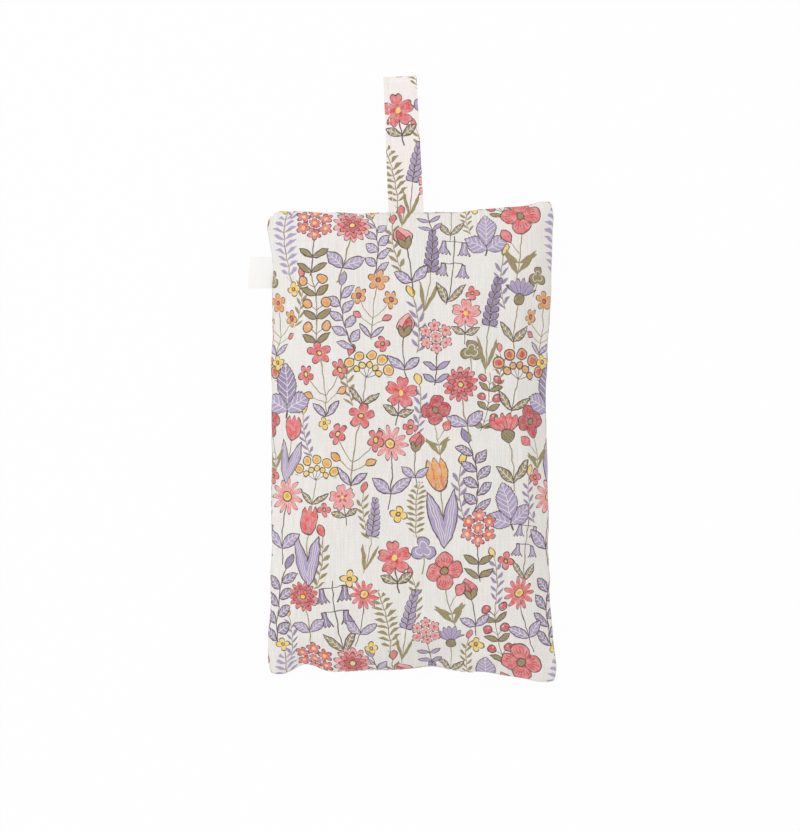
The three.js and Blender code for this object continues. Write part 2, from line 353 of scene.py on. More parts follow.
# %% [markdown]
# A few shapes make all the plants: an almond for leaves and buds, a disc for hearts and berries, a
# rosette for flower heads, a stalk and a twig. `turned` looks at a point from a shape that leans,
# `band` cuts a row off at its ends, and `veins` and `rays` are the fine lines on leaves and petals.

# %% Shapes
def almond(x, y, length, width):
    along = y.scaled(2 / length, -1)
    return (along * along).scaled(-width / 2, width / 2) - abs(x)


def disc(x, y, at, radius):
    dx = x - at[0]
    dy = y - at[1]
    return dy.math("MULTIPLY_ADD", dy, dx * dx).scaled(-0.5 / radius, radius / 2)


def reach_of(x, y):
    return y.math("MULTIPLY_ADD", y, x * x).math("SQRT")


def bearing(x, y):
    return x.math("ARCTAN2", y)


def lobes(x, y, count):
    return abs((bearing(x, y) * (count / 2)).math("COSINE"))


def rosette(x, y, petals, core, reach, soft=0.6):
    """A flower head of round petals, and how far a point is from its heart."""
    away = reach_of(x, y)
    return lobes(x, y, petals).math("POWER", soft).scaled(reach, core) - away, away


def rays(x, y, count, low, high):
    """The distance to short lines that run outwards between two radii."""
    away = reach_of(x, y)
    across = abs((bearing(x, y) * (count / 2)).math("SINE")) * away
    return across.scaled(2 / count).high(abs(away - (low + high) / 2) - (high - low) / 2)


def band(y, middle, half):
    return abs(y - middle).scaled(-1, half)


def stalk(x, y, low, high, width=0.42):
    return abs(x).scaled(-1, width / 2).low(band(y, (low + high) / 2, (high - low) / 2))


def twig(x, y, length):
    """The distance to a straight twig that starts at a point."""
    return abs(x).high(abs(y - length / 2) - length / 2)


def turned(x, y, at, degrees):
    c, s = math.cos(math.radians(degrees)), math.sin(math.radians(degrees))
    right = x.scaled(c, y.scaled(-s, s * at[1] - c * at[0]))
    up = x.scaled(s, y.scaled(c, -s * at[0] - c * at[1]))
    return right, up


def bowed(x, y, bow):
    return (y * y).scaled(bow, x)


def veins(x, y, step):
    """The distance to a leaf's midrib and to its slanting side veins."""
    return abs(abs(x).scaled(-0.9, y).wrap(-step, step)).scaled(0.75).low(abs(x))


def leaf_pair(cloth, x, y, foot, lean, length, width, colour):
    """Two leaves that spread from one point of a stalk, each with its veins."""
    right, up = turned(abs(x), y, (0, foot), lean)
    leaf = almond(right, up, length, width)
    cloth.fill(leaf, colour)
    cloth.draw(veins(right, up, 0.95).high(0.4 - leaf), 0.2, PALE)


# %% [markdown]
# The plants are scattered by a small loop, as a seed packet would do it. Each one starts at a random
# place on the repeat and takes up the room of an upright capsule. Plants that crowd each other are
# pushed apart, and two of a kind are pushed further. Early turns shake them so that they settle
# well. The result is a list for each kind: place in millimetres, lean in degrees, and size.

# %% Scatter the plants
REPEAT = (114, 184)
ROOM = {
    "wisps": (3.4, 22, 16), "daisies": (14, 31, 4), "poppies": (15, 29, 4), "blossoms": (14, 20, 4),
    "fillers": (6.5, 6.5, 14), "tulips": (12, 33, 3), "bellflowers": (13, 29, 3), "thistles": (13, 29, 3),
    "rosebuds": (11, 25, 4), "lavender": (7, 35, 4), "umbels": (16, 26, 3), "sprigs": (12, 30, 4),
    "ferns": (11, 28, 3), "berries": (11, 27, 3), "clovers": (9, 13, 3), "broad_leaves": (17, 19, 3),
    "zinnias": (14, 29, 3), "phlox": (14, 28, 4), "sprays": (18, 31, 4)}
SEED = 18
SETTLING_TURNS = 400
TWINS_APART = 42


def around(gap, span):
    return gap - span * round(gap / span)


def push_apart(a, b, twins):
    """Moves two plants out of each other's room. Each is a dict with its place, radius and half height."""
    dx = around(a["x"] - b["x"], REPEAT[0])
    need = a["radius"] + b["radius"]
    if abs(dx) > (TWINS_APART if twins else need):
        return
    dy = around(a["y"] - b["y"], REPEAT[1])
    past = math.copysign(max(0, abs(dy) - a["half"] - b["half"]), dy)
    crowding = need - math.hypot(dx, past)
    far = math.hypot(dx, dy)
    if crowding > 0:
        ux, uy = dx or 0.01, past or math.copysign(0.25, dy)
        step = 0.55 * crowding / math.hypot(ux, uy)
    elif twins and far < TWINS_APART:
        ux, uy = dx, dy
        step = 0.03 * (TWINS_APART - far) / far
    else:
        return
    for plant, way in ((a, step), (b, -step)):
        plant["x"] += way * ux
        plant["y"] += way * uy


def scatter():
    draw = random.Random(SEED)
    plants = []
    for kind, (width, height, count) in ROOM.items():
        for k in range(count):
            size = 0.86 + 0.36 * (k + 0.6 * draw.random()) / count
            plants.append({"kind": kind, "size": size, "lean": draw.uniform(-12, 12),
                           "x": draw.uniform(0, REPEAT[0]), "y": draw.uniform(0, REPEAT[1]),
                           "radius": 0.44 * width * size, "half": max(0, height - width) / 2 * size})
    for turn in range(SETTLING_TURNS):
        shake = 3 * max(0, 1 - turn / (0.6 * SETTLING_TURNS))
        for k, plant in enumerate(plants):
            plant["x"] += draw.gauss(0, shake)
            plant["y"] += draw.gauss(0, shake)
            for other in plants[:k]:
                push_apart(plant, other, plant["kind"] == other["kind"])
    garden = {kind: [] for kind in ROOM}
    for plant in plants:
        place = (around(plant["x"], REPEAT[0]), around(plant["y"], REPEAT[1]))
        garden[plant["kind"]].append((*place, plant["lean"], plant["size"]))
    return garden


GARDEN = scatter()
print(sum(len(places) for places in GARDEN.values()), "plants on a repeat of", REPEAT, "mm")


# %% [markdown]
# Each kind of plant is drawn once, about its own middle. `nearest` finds the plant of a kind that is
# nearest to a point, and gives the point as that plant sees it. Every second plant is turned over
# left to right, and half of them take a second colour, so the meadow looks richer than it is.

# %% Nearest plant of a kind
def nearest(point, kind):
    best = best_away = None
    for index, (px, py, lean, size) in enumerate(GARDEN[kind]):
        tile_low = (px - REPEAT[0] / 2, py - REPEAT[1] / 2, -1)
        tile_high = (px + REPEAT[0] / 2, py + REPEAT[1] / 2, 1)
        near = point.vector("WRAP", tile_high, tile_low)
        flip = (-1 if index % 2 else 1) / size
        second_colour = index // 2 % 2
        upright = near.vector("MULTIPLY_ADD", (flip, 1 / size, 0), (-px * flip, -py / size, second_colour))
        local = near.node("ShaderNodeVectorRotate", {"rotation_type": "Z_AXIS"}, {
            "Vector": upright, "Angle": math.radians(lean)})
        away = local.vector("LENGTH", output="Value")
        if best:
            closer = best_away.math("GREATER_THAN", away)
            best = closer.mix_vectors(best, local)
            best_away = best_away.low(away)
        else:
            best, best_away = local, away
    x, y = best.parts()
    return x, y, x.out("Z")


# %% [markdown]
# Nearly every kind stands on a stalk, so the stalks are one table: how far it bows, its foot and its
# top in millimetres, its ink, and its width where it isn't the usual one. Each function below then
# draws the rest of one kind, from the back to the front.

# %% Stalks
STEMS = {
    "daisies": (0.006, -16, 9, PLUM), "poppies": (-0.007, -15, 8, OLIVE), "blossoms": (0, -10, 2, PLUM),
    "zinnias": (0.006, -15, 8, OLIVE, 0.5), "phlox": (-0.005, -14, 6, PLUM),
    "sprays": (0.004, -15, 8, OLIVE), "tulips": (0.004, -17, 6, OLIVE),
    "bellflowers": (-0.005, -15, 14, PLUM), "thistles": (0.005, -16, 5, OLIVE),
    "rosebuds": (-0.009, -13, 4, PLUM), "lavender": (0.004, -17, 16, OLIVE),
    "umbels": (0.004, -14, 0, OLIVE), "sprigs": (0.012, -16, 14, PLUM), "ferns": (-0.008, -15, 13, OLIVE),
    "berries": (0.009, -14, 13, OLIVE), "broad_leaves": (0, -10, -4, PLUM, 0.6),
    "wisps": (0.014, -12, 9, OLIVE, 0.34)}
print(len(STEMS), "kinds of plant stand on a stalk")


# %% Flowers with round heads
def daisies(cloth, x, y, pick):
    leaf_pair(cloth, x, y, -10, 50, 9.5, 3.9, VIOLET)
    head = y - 9
    lobe = lobes(x, head, 11)
    away = reach_of(x, head)
    cloth.fill(lobe.scaled(3.8, 2.9) - away, pick.mix(CORAL, PINK))
    cloth.draw(rays(x, head, 11, 2.4, 4.6), 0.2, ROSE)
    cloth.fill(1.9 - away, YELLOW)
    cloth.wash(0.9 - away, ORANGE)


def poppies(cloth, x, y, pick):
    low_leaf = almond(*turned(abs(x), y, (0, -13), 34), 10, 2.2)
    high_leaf = almond(*turned(abs(x), y, (0, -9), 64), 7, 1.9)
    cloth.wash(low_leaf.high(high_leaf), OLIVE)
    right, up = turned(x, y, (0.5, -6), 38)
    cloth.draw(twig(right, up, 6), 0.3, OLIVE)
    cloth.fill(almond(right, up - 5, 6, 3.6), CORAL)
    head = y - 8
    petal, away = rosette(x, head, 4, 3.6, 3.4, 0.5)
    cloth.fill(petal, pick.mix(ROSE, CORAL))
    cloth.draw(rays(x, head, 28, 3.6, 5.2).high(0.5 - petal), 0.18, PLUM)
    cloth.draw((lobes(x, head, 4) * away).high(away - 5), 0.5, PLUM)
    cloth.fill(1.5 - away, OLIVE)


def blossoms(cloth, x, y, pick):
    leaf_pair(cloth, x, y, -6, 62, 6.6, 2.8, OLIVE)
    head = y - 3
    lobe = lobes(x, head, 5)
    away = reach_of(x, head)
    petal = lobe.math("POWER", 0.55).scaled(4.4, 2.2) - lobe.math("POWER", 14) - away
    cloth.fill(petal, pick.mix(PINK, CORAL))
    cloth.draw(rays(x, head, 25, 3.0, 4.9).high(0.4 - petal), 0.18, ROSE)
    cloth.wash(lobe.scaled(2.3, 0.4) - away, ROSE)
    cloth.wash(0.95 - away, YELLOW)


def zinnias(cloth, x, y, pick):
    leaf_pair(cloth, x, y, -9, 56, 8.6, 4.4, VIOLET)
    head = y - 7.6
    away = reach_of(x, head)
    for count, rim, notch, first, second in (
            (13, 4.9, 2.0, CORAL, PINK), (11, 3.5, 1.6, ROSE, CORAL), (9, 2.1, 1.2, CORAL, ROSE)):
        cloth.fill(lobes(x, head, count).scaled(notch, rim) - away, pick.mix(first, second))
    cloth.fill(1.2 - away, YELLOW)


def phlox(cloth, x, y, pick):
    right, up = turned(abs(x), (y + 13).wrap(0, 5.2), (0, 0.3), 58)
    leaf = almond(right, up, 6.4, 2.3).low(band(y, -7.9, 5.0))
    cloth.fill(leaf, pick.mix(VIOLET, OLIVE))
    head = y - 6.2
    away = reach_of(x, head)
    fold = bearing(x, head).wrap(-math.pi / 6, math.pi / 6)
    ring = away.math("GREATER_THAN", 2.3)
    fx = ring.math("MULTIPLY_ADD", away * fold.math("SINE") - x, x)
    fy = ring.math("MULTIPLY_ADD", away * fold.math("COSINE") - head - 4.7, head)
    floret, near = rosette(fx, fy, 5, 0.95, 1.5)
    cloth.fill(floret, pick.mix(PINK, CORAL))
    cloth.wash(0.65 - near, pick.mix(ROSE, YELLOW))


def sprays(cloth, x, y, pick):
    leaf_pair(cloth, x, y, -14, 44, 7.5, 2.4, VIOLET)
    right, up = turned(abs(x), y, (0, -6), 36)
    right = bowed(right, up - 6, 0.025) - 0.9
    cloth.draw(twig(right, up, 10), 0.36, OLIVE)
    low_right, low_up = turned(abs(x), y, (0, -9), 58)
    cloth.draw(twig(low_right, low_up, 6), 0.3, OLIVE)
    cloth.fill(almond(low_right, low_up - 5.4, 4.2, 2.4), pick.mix(CORAL, ORANGE))
    side_head, side_away = rosette(right, up - 11.2, 5, 1.2, 2.2)
    head, away = rosette(x, y - 10.4, 5, 1.6, 2.9)
    petal = side_head.high(head)
    cloth.fill(petal, pick.mix(ORANGE, CORAL))
    cloth.draw(rays(x, y - 10.4, 20, 2.0, 3.4).high(0.4 - petal), 0.18, ROSE)
    cloth.fill(0.95 - away.low(side_away), pick.mix(ROSE, YELLOW))


def fillers(cloth, x, y, pick):
    petal, away = rosette(x, y, 4, 1.0, 2.0)
    cloth.fill(petal, pick.mix(YELLOW, CORAL))
    cloth.fill(0.7 - away, ORANGE)


# %% Flowers with cups, bells and brushes
def tulips(cloth, x, y, pick):
    right, up = turned(abs(x), y, (0, -17), 13)
    leaf = almond(right, up, 21, 4.8)
    cloth.fill(leaf, VIOLET)
    cloth.draw(abs(abs(right) - 0.8).low(abs(right)).high(0.5 - leaf), 0.2, PALE)
    across = x * 0.26
    rise = y.scaled(0.155, -1.55)
    oval = across.math("MULTIPLY_ADD", across, rise * rise).scaled(-2.2, 2.2)
    points = abs((x * 1.2).math("COSINE")).scaled(2.4, 12.6) - y
    cup = oval.low(points)
    cloth.fill(cup, pick.mix(CORAL, ORANGE))
    cloth.draw(abs(abs(x) - 1.3).high(0.2 - cup), 0.3, ROSE)
    cloth.draw(abs(x.wrap(-0.45, 0.45)).high(y - 8).high(0.4 - cup), 0.16, ROSE)


def bellflowers(cloth, x, y, pick):
    leaf_pair(cloth, x, y, -14, 36, 10, 2.8, OLIVE)
    side = abs(x)
    step = (y + 5).wrap(0, 9)
    row = band(y, 4, 9)
    cloth.draw(abs(step - 7.4).high(side - 4.3).high(0 - row), 0.3, PLUM)
    fall = 7.2 - step
    flare = (fall * fall).scaled(0.07, 0.8) - abs(side - 4.2)
    hem = abs((side * 2).math("COSINE")).scaled(0.9, 4.4) - fall
    bell = flare.low(hem).low(fall).low(row)
    cloth.fill(bell, pick.mix(VIOLET, DUSK))
    cloth.draw(abs(side - 4.2).high(0.4 - bell), 0.2, PALE)


def thistles(cloth, x, y, pick):
    leaf_pair(cloth, x, y, -13, 40, 9.6, 2.9, OLIVE)
    rise = y - 5
    away = reach_of(x, rise)
    comb = lobes(x, rise, 18)
    brush = (comb.scaled(1.7, 6.4) - away).low(abs(bearing(x, rise)).scaled(-5, 5))
    cloth.fill(brush, pick.mix(VIOLET, CORAL))
    cloth.draw((comb * away).scaled(0.14).high(0.4 - brush), 0.2, PLUM)
    cloth.fill(disc(x, y, (0, 4.6), 2.4), OLIVE)
    cloth.draw(abs((x + y).wrap(-0.6, 0.6)).high(reach_of(x, y - 4.6) - 2.2), 0.16, PLUM)


def rosebuds(cloth, x, y, pick):
    leaf_pair(cloth, x, y, -9, 52, 7.8, 3.2, VIOLET)
    cloth.fill(almond(x, y - 3.4, 9, 6.6), pick.mix(CORAL, PINK))
    cloth.fill(almond(x - 0.9, y - 3.6, 7.4, 3.0), ROSE)
    cloth.fill(almond(*turned(abs(x), y, (0, 3), 26), 5.2, 2.2), OLIVE)


# %% Spikes, sprays and leaves
def lavender(cloth, x, y, pick):
    side = abs(x)
    cloth.wash(almond(*turned(side, y, (0, -16), 17), 13, 1.6), OLIVE)
    narrowing = side.math("DIVIDE", y.scaled(-0.035, 1.2))
    floret = almond(*turned(narrowing, y.wrap(0, 2.5), (0.1, 0), 42), 3.6, 2.3).low(band(y, 8.75, 8.75))
    cloth.fill(floret, pick.mix(VIOLET, DUSK))


def umbels(cloth, x, y, pick):
    leaf_pair(cloth, x, y, -12, 48, 8.5, 2.4, OLIVE)
    rise = y + 1
    away = reach_of(x, rise)
    angle = bearing(x, rise)
    fold = angle.wrap(-0.262, 0.262)
    sx = away * fold.math("SINE")
    sy = away * fold.math("COSINE")
    fan = abs(angle).scaled(-5, 6.6)
    cloth.draw(abs(sx).high(sy - 9).high(0 - fan), 0.25, PLUM)
    florets = disc(sx, sy, (0, 9.4), 2.0).high(disc(sx, sy, (0, 5.3), 1.25)).low(fan)
    cloth.fill(florets, pick.mix(YELLOW, ORANGE))
    cloth.wash(florets - 0.62, pick.mix(ORANGE, ROSE))


def sprigs(cloth, x, y, pick):
    climb = x.math("GREATER_THAN", 0).scaled(3.1, y)
    right, up = turned(abs(x), climb.wrap(0, 6.2), (0.2, 0.4), 50)
    leaf = almond(right, up, 6.8, 3.5).low(band(climb, -0.25, 12.1))
    tip = almond(x, y - 11.5, 6, 3.2)
    cloth.fill(leaf.high(tip), pick.mix(VIOLET, DUSK))
    cloth.draw(veins(right, up, 0.8).high(0.4 - leaf), 0.2, PALE)


def ferns(cloth, x, y, pick):
    right, up = turned(abs(x), y.wrap(0, 2.6), (0, 0.2), 56)
    outline = almond(x, y + 13, 28, 12.5)
    cloth.wash(almond(right, up, 8, 1.5).low(outline), pick.mix(OLIVE, VIOLET))


def berries(cloth, x, y, pick):
    side = abs(x)
    step = (y + 13).wrap(0, 8.6)
    right, up = turned(side, step, (0, 0.4), 58)
    row = band(y, -0.35, 12.6)
    cloth.fill(almond(right, up, 6.2, 2.4).low(row), OLIVE)
    right, up = turned(side, step, (0, 3.4), 48)
    cloth.draw(twig(right, up, 4.4).high(0 - row), 0.25, PLUM)
    cloth.fill(disc(side, step, (3.6, 6.3), 1.75).low(row), pick.mix(ROSE, ORANGE))
    cloth.wash(disc(side, step, (3.1, 6.9), 0.5).low(row), PINK)


def clovers(cloth, x, y, pick):
    cloth.wash(stalk(bowed(x, y, 0.02), y, -7, 1), OLIVE)
    leaf, away = rosette(x, y - 2, 3, 0.8, 3.8, 0.45)
    cloth.fill(leaf, pick.mix(OLIVE, VIOLET))
    cloth.draw(abs(lobes(x, y - 2, 3).scaled(1.4, 1.4) - away), 0.3, PALE)


def broad_leaves(cloth, x, y, pick):
    right, up = turned(abs(x), y, (0, -7), 62)
    for side, rise, length, width, colour in (
            (right, up, 10.5, 6.6, VIOLET), (x, y + 5, 14.5, 8.2, pick.mix(VIOLET, DUSK))):
        leaf = rise.wrap(0, 1.1).scaled(0.4, almond(side, rise, length, width))
        cloth.fill(leaf, colour)
        cloth.draw(veins(side, rise, 1.1).high(0.5 - leaf), 0.24, PALE)


def wisps(cloth, x, y, pick):
    climb = x.math("GREATER_THAN", 0).scaled(1.7, y)
    right, up = turned(abs(x), climb.wrap(0, 3.4), (0.1, 0.2), 40)
    leaf = almond(right, up, 4.0, 1.2).low(band(climb, -1.7, 8.5))
    cloth.wash(leaf, pick.mix(OLIVE, DUSK))
    cloth.fill(almond(x, y - 7.6, 4.4, 2.6), pick.mix(CORAL, YELLOW))


KINDS = [
    wisps, broad_leaves, sprigs, ferns, berries, clovers, lavender, umbels, tulips, bellflowers,
    thistles, rosebuds, blossoms, daisies, zinnias, phlox, sprays, poppies, fillers]


def plant_group(draw):
    """A kind of plant as a node group: the cloth's colour goes in and comes out with the plants on it."""
    kind = draw.__name__
    group = bpy.data.node_groups.new(kind, "ShaderNodeTree")
    for name, way, value in (("Point", "INPUT", "Vector"), ("Cloth", "INPUT", "Color"),
                             ("Miss", "INPUT", "Float"), ("Printed", "OUTPUT", "Color")):
        group.interface.new_socket(name, in_out=way, socket_type="NodeSocket" + value)
    entry = Wire(group).node("NodeGroupInput")
    cloth = Printing(entry.out("Cloth"), entry.out("Miss"))
    x, y, pick = nearest(entry, kind)
    if kind in STEMS:
        bow, low, high, colour, *width = STEMS[kind]
        x = bowed(x, y, bow)
        cloth.wash(stalk(x, y, low, high, *width), colour)
    draw(cloth, x, y, pick)
    cloth.colour.to(group.nodes.new("NodeGroupOutput").inputs[0])
    return group


PLANTS = [plant_group(draw) for draw in KINDS]
print(len(PLANTS), "kinds of plant,", sum(len(group.nodes) for group in PLANTS), "nodes")

# %% [markdown]
# ## Printed cotton
# The cloth is a fine plain weave with thicker yarns here and there, which show as faint streaks both
# ways. The yarns are far finer than the mesh, so they are a bump, and the streaks are noise that is
# stretched along each direction. A slow wobble bends the print a little, as a drawn line wanders. The
# inks are richer in some places than in others, and miss their outlines by a hair here and there.

# %% Printed cotton
YARN = 0.42
INK_MISS = 0.4


def make_printed_cotton(name, ground, shade):
    finish, start, shader = new_finish(name, {
        "Roughness": 0.88, "Specular IOR Level": 0.25, "Sheen Weight": 0.12})
    flat = start.node("ShaderNodeUVMap", {"uv_map": "cloth"})
    point = flat.vector("SCALE", Scale=1 / MM)
    wobble = point.cloud(0.22, 1.0, output="Color")
    drawn = wobble.vector("MULTIPLY_ADD", (1.3, 1.3, 0), (-0.65, -0.65, 0)).vector("ADD", point)

    down = point.vector("MULTIPLY", (2.0, 0.08, 0)).cloud(1.0)
    across = point.vector("MULTIPLY", (0.04, 2.3, 0)).cloud(1.0)
    grain = point.cloud(2.6, 1.0)
    slub = down.scaled(1.8, grain.scaled(2.2, across * 0.5)).scaled(1.2, -2.2, clamp=True)

    miss = point.cloud(0.3, 1.0).scaled(1.9, -0.7, clamp=True) * INK_MISS
    printed = slub.mix(ground, shade)
    for group in PLANTS:
        printed = start.node("ShaderNodeGroup", {"node_tree": group}, {
            "Point": drawn, "Cloth": printed, "Miss": miss})
    richness = drawn.cloud(0.45).scaled(0.8, 0.6)
    toned = start.node("ShaderNodeHueSaturation", inputs={"Saturation": richness, "Color": printed})
    speckle = point.cloud(1.6).scaled(0.5, -0.18, clamp=True)
    speckle.mix(toned, ground).to(shader.inputs["Base Color"])

    x, y = drawn.parts()
    weave = (x * (2 * math.pi / YARN)).math("SINE") * (y * (2 * math.pi / YARN)).math("SINE")
    weave.scaled(0.25, slub).dent(shader, 0.35, 0.06 * MM)
    return finish


bag_cotton = make_printed_cotton("printed_cotton", ink(241, 237, 232), ink(226, 221, 216))
# The loop takes a copy of the same cotton with a paler ground and paler streaks: painted light, so that the
# loop comes out lighter than the bag.
loop_cotton_painted_light = make_printed_cotton("printed_cotton_loop_painted_light", ink(250, 243, 240), ink(239, 230, 226))
print("cotton for", bag_cotton.name, "and", loop_cotton_painted_light.name)

# %% [markdown]
# The wrong side of the cloth only shows through from inside. It is the same ivory with the print as
# a faint ghost, so a cloudy tint stands for it.

# %% Wrong side of the cotton
wrong_side, start, shader = new_finish("cotton_wrong_side", {"Roughness": 0.9})
spot = start.node("ShaderNodeTexCoord", output="Object")
ghost = spot.cloud(160.0, plane=False).scaled(2.5, -0.9, clamp=True)
ghost.mix(ink(240, 236, 231), ink(226, 214, 214)).to(shader.inputs["Base Color"])
print("wrong side of", bag_cotton.name, "is", wrong_side.name)

# %% [markdown]
# ## The bag
# The real bag is two rectangles of cotton sewn together, turned and stuffed. The same is done here:
# two flat grids share one rim, and a pressure blows them up on the table towards the volume of a full
# bag. The sides then pull in between the corners by themselves. The seam draws up a little when it
# is sewn, so the rim shrinks. No bag is cut and sewn quite true: each corner has its own ear, the
# bottom edge has two tucks where it was closed by hand, and the other edges waver. The cloth solver
# is steadier on large things, so the bag is sewn and filled ten times life size.

# %% Cut the two panels
GROW = 10
FLAT_WIDTH = 123.4
FLAT_LENGTH = 199.2
CELLS_ACROSS = 44
CELLS_ALONG = 72
CORNER_EARS = {(1, 1): (0.8, 5.0), (1, -1): (2.9, -4.6), (-1, -1): (0.1, -0.6), (-1, 1): (0, 0.3)}
CORNER_ROUNDS = {(1, 1): 2.5, (1, -1): 2.2, (-1, -1): 1.9, (-1, 1): 4.6}
TUCKS = [("bottom", -44, 3.4, 7), ("bottom", 9, 1.4, 7), ("left", 77, 1.6, 10), ("left", 55, 1.0, 14),
         ("top", -35, 0.9, 14), ("top", -53, 1.0, 6), ("top", 52, 0.9, 7), ("right", 62, -1.2, 22),
         ("right", -25, -0.8, 40)]
WAVER = 0.5
TUCK_DEPTH = 9


def cut_line(across, along):
    """Where a point of the flat rectangle lies once its corners and tucks are cut, in mm."""
    x, y = across * FLAT_WIDTH / 2, along * FLAT_LENGTH / 2
    shift_x = shift_y = 0.0
    for (side, end), (ear_x, ear_y) in CORNER_EARS.items():
        pull = ((1 + side * across) / 2 * (1 + end * along) / 2) ** 6
        shift_x += ear_x * pull
        shift_y += ear_y * pull
        from_corner = math.hypot(FLAT_WIDTH / 2 - side * x, FLAT_LENGTH / 2 - end * y)
        blunt = CORNER_ROUNDS[side, end] * max(0, 1 - from_corner / 9) ** 2
        shift_x -= side * blunt
        shift_y -= end * blunt
    for edge, place, depth, spread in TUCKS:
        upright = edge in ("left", "right")
        sign = 1 if edge in ("left", "bottom") else -1
        share, span, run = (across, FLAT_WIDTH, y) if upright else (along, FLAT_LENGTH, x)
        inside = (1 + sign * share) / 2 * span
        pull = sign * depth * math.exp(-((run - place) / spread) ** 2 - inside / TUCK_DEPTH)
        if upright:
            shift_x += pull
        else:
            shift_y += pull
    shift_x += WAVER * noise.noise(Vector((across, y * 0.08, 5))) * abs(across)**8
    shift_y += WAVER * noise.noise(Vector((along, x * 0.08, 9))) * abs(along)**8
    return x + shift_x, y + shift_y


def alone(*things):
    """Selects these objects and nothing else; the first one is active."""
    bpy.ops.object.select_all(action="DESELECT")
    for thing in things:
        thing.select_set(True)
    bpy.context.view_layer.objects.active = things[0]


@contextlib.contextmanager
def editing(piece, select="VERT"):
    """Edit mode on one piece, selecting points, edges or faces."""
    alone(piece)
    bpy.ops.object.mode_set(mode="EDIT")
    bpy.ops.mesh.select_mode(type=select)
    yield
    bpy.ops.object.mode_set(mode="OBJECT")


def turn_over(piece):
    with editing(piece):
        bpy.ops.mesh.select_all(action="SELECT")
        bpy.ops.mesh.flip_normals()


def cut_panel(name, bulge, slot):
    bpy.ops.mesh.primitive_grid_add(x_subdivisions=CELLS_ACROSS, y_subdivisions=CELLS_ALONG, size=2)
    panel = bpy.context.object
    panel.name = name
    mesh = panel.data
    flat = mesh.attributes.new("flat", "FLOAT_VECTOR", "POINT")
    for vertex in mesh.vertices:
        across, along = vertex.co.x, vertex.co.y
        flat.data[vertex.index].vector = (across * FLAT_WIDTH / 2, along * FLAT_LENGTH / 2, 0)
        rise = bulge * math.sqrt(max(0, 1 - across**2) * max(0, 1 - along**2))
        x, y = cut_line(across, along)
        vertex.co = Vector((x, y, rise)) * MM * GROW
    for face in mesh.polygons:
        face.material_index = slot
    if bulge < 0:
        turn_over(panel)
    return panel


def flat_places(mesh):
    """Where each point of a mesh lies on the flat cloth, in mm."""
    return [entry.vector.copy() for entry in mesh.attributes["flat"].data]


START_BULGE = 6
bag = cut_panel("bag", START_BULGE, 0)
bag.data.materials.append(bag_cotton)
bag.data.materials.append(wrong_side)
under = cut_panel("bag_under", -START_BULGE, 1)
alone(bag, under)
bpy.ops.object.join()
with editing(bag):
    bpy.ops.mesh.select_all(action="SELECT")
    bpy.ops.mesh.remove_doubles(threshold=0.0001)
print("the sewn bag has", len(bag.data.vertices), "points")

# %% [markdown]
# The filling has settled towards the bottom, so the push is a little weaker at the top end. The
# pressure acts like loose grain: it aims at a volume, and weighs more on the lower cloth.

# %% Fill the bag
FULL_BAG_CM3 = 385
TOP_PUSH = 0.85
SEAM_DRAW = 0.03
RIM_SHARE = {"bottom": 0.6, "right": 0.6, "top": 0.5, "left": 0.6}
FRAMES = 60
DROP = 10
ON_RIM = 0.999

push = bag.vertex_groups.new(name="push")
draw_up = bag.vertex_groups.new(name="draw_up")
flat = flat_places(bag.data)
for vertex in bag.data.vertices:
    across = flat[vertex.index].x / (FLAT_WIDTH / 2)
    along = flat[vertex.index].y / (FLAT_LENGTH / 2)
    push.add([vertex.index], TOP_PUSH + (1 - TOP_PUSH) * (1 - along) / 2, "REPLACE")
    on_rim = {"bottom": along < -ON_RIM, "right": across > ON_RIM, "top": along > ON_RIM,
              "left": across < -ON_RIM}
    share = max([RIM_SHARE[edge] for edge, on in on_rim.items() if on], default=0)
    draw_up.add([vertex.index], share, "REPLACE")


def set_all(target, **settings):
    for name, value in settings.items():
        setattr(target, name, value)


def fill_by_cloth():
    bag.location.z = DROP * MM * GROW
    bpy.ops.object.transform_apply(location=True)
    bpy.ops.mesh.primitive_plane_add(size=6 * GROW)
    board = bpy.context.object
    board.modifiers.new("Board", "COLLISION")
    set_all(board.collision, thickness_outer=0.003, cloth_friction=30)
    alone(bag)
    cloth = bag.modifiers.new("Cloth", "CLOTH")
    set_all(cloth.settings, quality=8, mass=0.01, tension_stiffness=40, compression_stiffness=40,
            shear_stiffness=16, bending_stiffness=0.3, tension_damping=8, compression_damping=8,
            shear_damping=8, bending_damping=0.5, air_damping=3)
    set_all(cloth.settings, use_pressure=True, uniform_pressure_force=0, use_pressure_volume=True,
            target_volume=FULL_BAG_CM3 * 1e-6 * GROW**3, pressure_factor=10, fluid_density=0.15,
            vertex_group_pressure="push", vertex_group_shrink="draw_up", shrink_min=0, shrink_max=SEAM_DRAW)
    set_all(cloth.collision_settings, distance_min=0.003, use_self_collision=False)
    set_all(cloth.point_cache, frame_start=1, frame_end=FRAMES)
    scene.frame_start, scene.frame_end = 1, FRAMES
    for number in range(1, FRAMES + 1):
        scene.frame_set(number)
    bpy.ops.object.modifier_apply(modifier="Cloth")
    bpy.data.objects.remove(board)
    scene.frame_set(1)


alone(bag)
fill_by_cloth()

alone(bag)
bpy.ops.transform.resize(value=(1 / GROW,) * 3, center_override=(0, 0, 0))
bpy.ops.object.transform_apply(scale=True)
bag.location.z = -min(vertex.co.z for vertex in bag.data.vertices)
bpy.ops.object.transform_apply(location=True)
bag.vertex_groups.clear()
print("the filled bag, mm", in_mm(bag.dimensions))

# %% [markdown]
# ## Rim of the bag
# The seam, the loop, the label and the threads all follow the rim of the filled bag, so it is read
# once: its points in order, anticlockwise from above, each with its place on the flat cloth.

